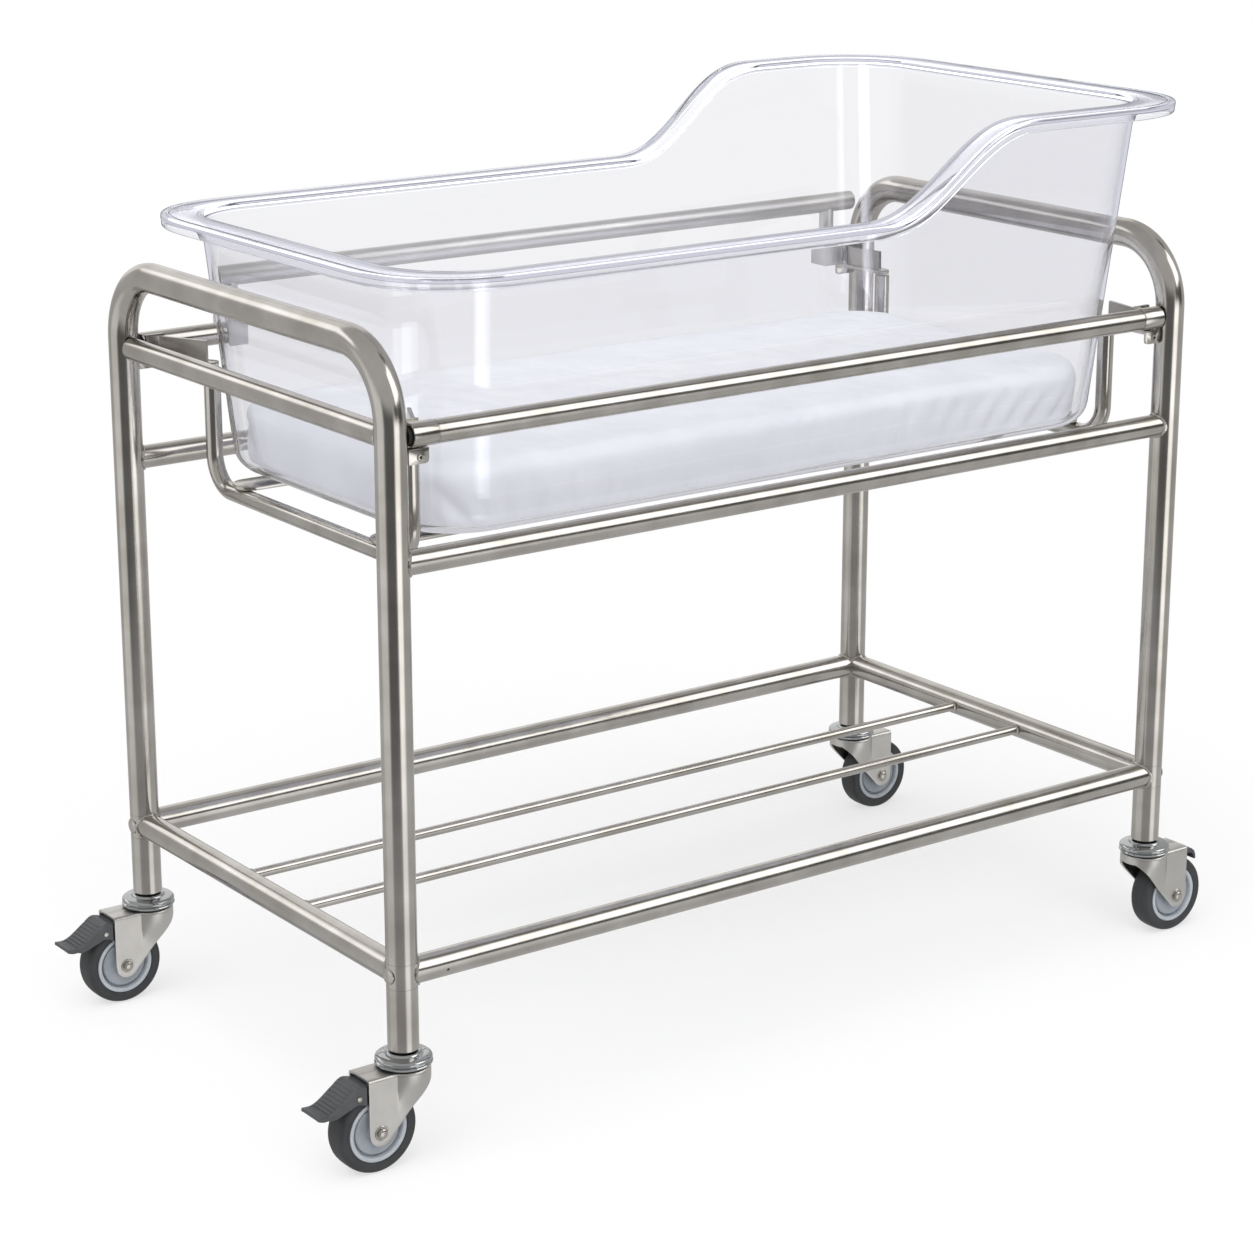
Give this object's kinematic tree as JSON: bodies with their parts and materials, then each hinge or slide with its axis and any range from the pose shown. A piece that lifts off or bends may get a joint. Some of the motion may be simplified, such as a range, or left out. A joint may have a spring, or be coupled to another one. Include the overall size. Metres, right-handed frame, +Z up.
{
  "type": "hospital bassinet",
  "caption": "Hospital bassinet: stainless tube stand on swivel casters with brake pedals, clear lift-out tub with one raised end, and a mattress in a white fitted cover.",
  "frame": {"origin": "On the floor under the middle of the whole object's plan.", "axes": "+X runs from the low foot end to the raised head end, +Y from the front to the back, +Z up."},
  "size_m": [1.0697, 0.526, 0.862],
  "materials": {
    "stainless_tube": "satin brushed along the tube",
    "caster_chrome": "bright plated",
    "fork_zinc": "satin zinc plate",
    "tyre_grey": "matte grey rubber",
    "wheel_grey": "moulded, light grey",
    "pedal_grey": "ribbed, dark grey",
    "support_rubber": "matte black",
    "tub_clear": "clear, polished",
    "mattress_cover": "white woven cotton"
  },
  "bodies": {
    "frame": {"foot_end_hoop": "stainless_tube", "head_end_hoop": "stainless_tube", "front_lower_rail": "stainless_tube", "back_lower_rail": "stainless_tube", "foot_lower_cross_rail": "stainless_tube", "head_lower_cross_rail": "stainless_tube", "front_shelf_rod": "stainless_tube", "back_shelf_rod": "stainless_tube", "front_bed_rail": "stainless_tube", "back_bed_rail": "stainless_tube", "front_upper_rail": "stainless_tube", "foot_upper_cross_rail": "stainless_tube", "foot_back_stub": "stainless_tube", "head_back_stub": "stainless_tube", "raised_back_rail": "stainless_tube", "foot_u_bar": "stainless_tube", "head_u_bar": "stainless_tube", "front_foot_bracket": "stainless_tube", "front_head_bracket": "stainless_tube", "back_foot_bracket": "stainless_tube", "back_head_bracket": "stainless_tube", "front_foot_strap": "stainless_tube", "front_head_strap": "stainless_tube", "back_foot_strap": "stainless_tube", "back_head_strap": "stainless_tube", "front_foot_pad": "support_rubber", "front_head_pad": "support_rubber", "back_foot_pad": "support_rubber", "back_head_pad": "support_rubber", "front_foot_leg_bolt": "caster_chrome", "front_head_leg_bolt": "caster_chrome", "back_foot_leg_bolt": "caster_chrome", "back_head_leg_bolt": "caster_chrome", "front_foot_caster_head": "caster_chrome", "front_head_caster_head": "caster_chrome", "back_foot_caster_head": "caster_chrome", "back_head_caster_head": "caster_chrome"},
    "tub_body": {"tub": "tub_clear"},
    "mattress_body": {"mattress": "mattress_cover"},
    "front_foot_swivel": {"front_foot_caster_fork": "fork_zinc", "front_foot_caster_axle": "caster_chrome"},
    "front_foot_rolling_wheel": {"front_foot_caster_tyre": "tyre_grey", "front_foot_caster_wheel": "wheel_grey"},
    "front_foot_brake": {"front_foot_brake_pedal": "pedal_grey"},
    "front_head_swivel": {"front_head_caster_fork": "fork_zinc", "front_head_caster_axle": "caster_chrome"},
    "front_head_rolling_wheel": {"front_head_caster_tyre": "tyre_grey", "front_head_caster_wheel": "wheel_grey"},
    "front_head_brake": {"front_head_brake_pedal": "pedal_grey"},
    "back_foot_swivel": {"back_foot_caster_fork": "fork_zinc", "back_foot_caster_axle": "caster_chrome"},
    "back_foot_rolling_wheel": {"back_foot_caster_tyre": "tyre_grey", "back_foot_caster_wheel": "wheel_grey"},
    "back_foot_brake": {"back_foot_brake_pedal": "pedal_grey"},
    "back_head_swivel": {"back_head_caster_fork": "fork_zinc", "back_head_caster_axle": "caster_chrome"},
    "back_head_rolling_wheel": {"back_head_caster_tyre": "tyre_grey", "back_head_caster_wheel": "wheel_grey"}
  },
  "joints": [
    {"name": "front_foot_swivel_turn", "type": "hinge", "parent": "frame", "child": "front_foot_swivel", "pos_m": [-0.439, -0.235, 0.0915], "axis": [0, 0, 1], "continuous": true},
    {"name": "front_foot_wheel_roll", "type": "hinge", "parent": "front_foot_swivel", "child": "front_foot_rolling_wheel", "pos_m": [-0.473, -0.235, 0.03975], "axis": [0, 1, 0], "continuous": true},
    {"name": "front_foot_brake_lift", "type": "hinge", "parent": "front_foot_swivel", "child": "front_foot_brake", "pos_m": [-0.483, -0.235, 0.0844], "axis": [0, 1, 0], "range_deg": [0, 10]},
    {"name": "front_head_swivel_turn", "type": "hinge", "parent": "frame", "child": "front_head_swivel", "pos_m": [0.461, -0.235, 0.0915], "axis": [0, 0, 1], "continuous": true},
    {"name": "front_head_wheel_roll", "type": "hinge", "parent": "front_head_swivel", "child": "front_head_rolling_wheel", "pos_m": [0.495, -0.235, 0.03975], "axis": [0, 1, 0], "continuous": true},
    {"name": "front_head_brake_lift", "type": "hinge", "parent": "front_head_swivel", "child": "front_head_brake", "pos_m": [0.505, -0.235, 0.0844], "axis": [0, -1, 0], "range_deg": [0, 10]},
    {"name": "back_foot_swivel_turn", "type": "hinge", "parent": "frame", "child": "back_foot_swivel", "pos_m": [-0.439, 0.235, 0.0915], "axis": [0, 0, 1], "continuous": true},
    {"name": "back_foot_wheel_roll", "type": "hinge", "parent": "back_foot_swivel", "child": "back_foot_rolling_wheel", "pos_m": [-0.473, 0.235, 0.03975], "axis": [0, 1, 0], "continuous": true},
    {"name": "back_foot_brake_lift", "type": "hinge", "parent": "back_foot_swivel", "child": "back_foot_brake", "pos_m": [-0.483, 0.235, 0.0844], "axis": [0, 1, 0], "range_deg": [0, 10]},
    {"name": "back_head_swivel_turn", "type": "hinge", "parent": "frame", "child": "back_head_swivel", "pos_m": [0.461, 0.235, 0.0915], "axis": [0, 0, 1], "continuous": true},
    {"name": "back_head_wheel_roll", "type": "hinge", "parent": "back_head_swivel", "child": "back_head_rolling_wheel", "pos_m": [0.495, 0.235, 0.03975], "axis": [0, 1, 0], "continuous": true},
    {"name": "tub_lift", "type": "slide", "parent": "frame", "child": "tub_body", "axis": [0, 0, 1], "range_m": [0, 0.3]},
    {"name": "mattress_lift", "type": "slide", "parent": "tub_body", "child": "mattress_body", "axis": [0, 0, 1], "range_m": [0, 0.36]}
  ]
}
